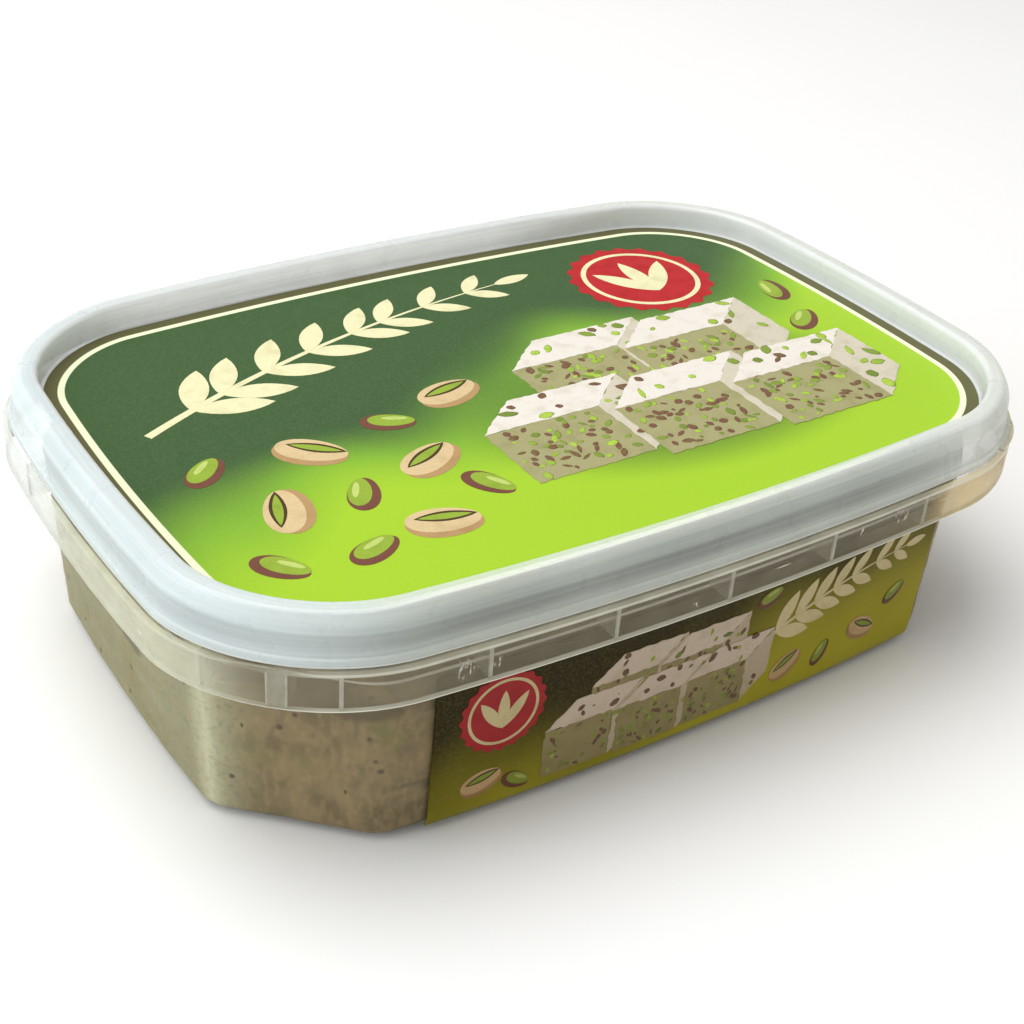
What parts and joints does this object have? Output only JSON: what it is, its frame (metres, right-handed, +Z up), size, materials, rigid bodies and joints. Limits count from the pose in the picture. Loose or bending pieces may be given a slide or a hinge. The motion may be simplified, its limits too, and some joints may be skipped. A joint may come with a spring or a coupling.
{
  "type": "shut tub of pistachio halva",
  "caption": "Shut rectangular clear plastic tub filled with pistachio halva, with a push-on lid that has a raised rim and printed labels on the lid and the long sides.",
  "frame": {"origin": "middle of the tub's foot, on the surface that it stands on", "axes": "+X along the long sides, +Y from the front label to the back one, +Z up"},
  "size_m": [0.1418, 0.0988, 0.0397],
  "materials": {
    "tub_plastic": "clear, slightly hazy moulded polypropylene",
    "lid_plastic": "milky translucent moulded polypropylene",
    "halva": "dense sesame paste with pistachio, pressed against the tub",
    "lid_print": "satin printed film",
    "side_print": "satin printed film"
  },
  "bodies": {
    "root": {"tub": "tub_plastic", "lid": "lid_plastic", "halva": "halva", "lid_label": "lid_print", "front_label": "side_print", "back_label": "side_print"}
  },
  "joints": []
}
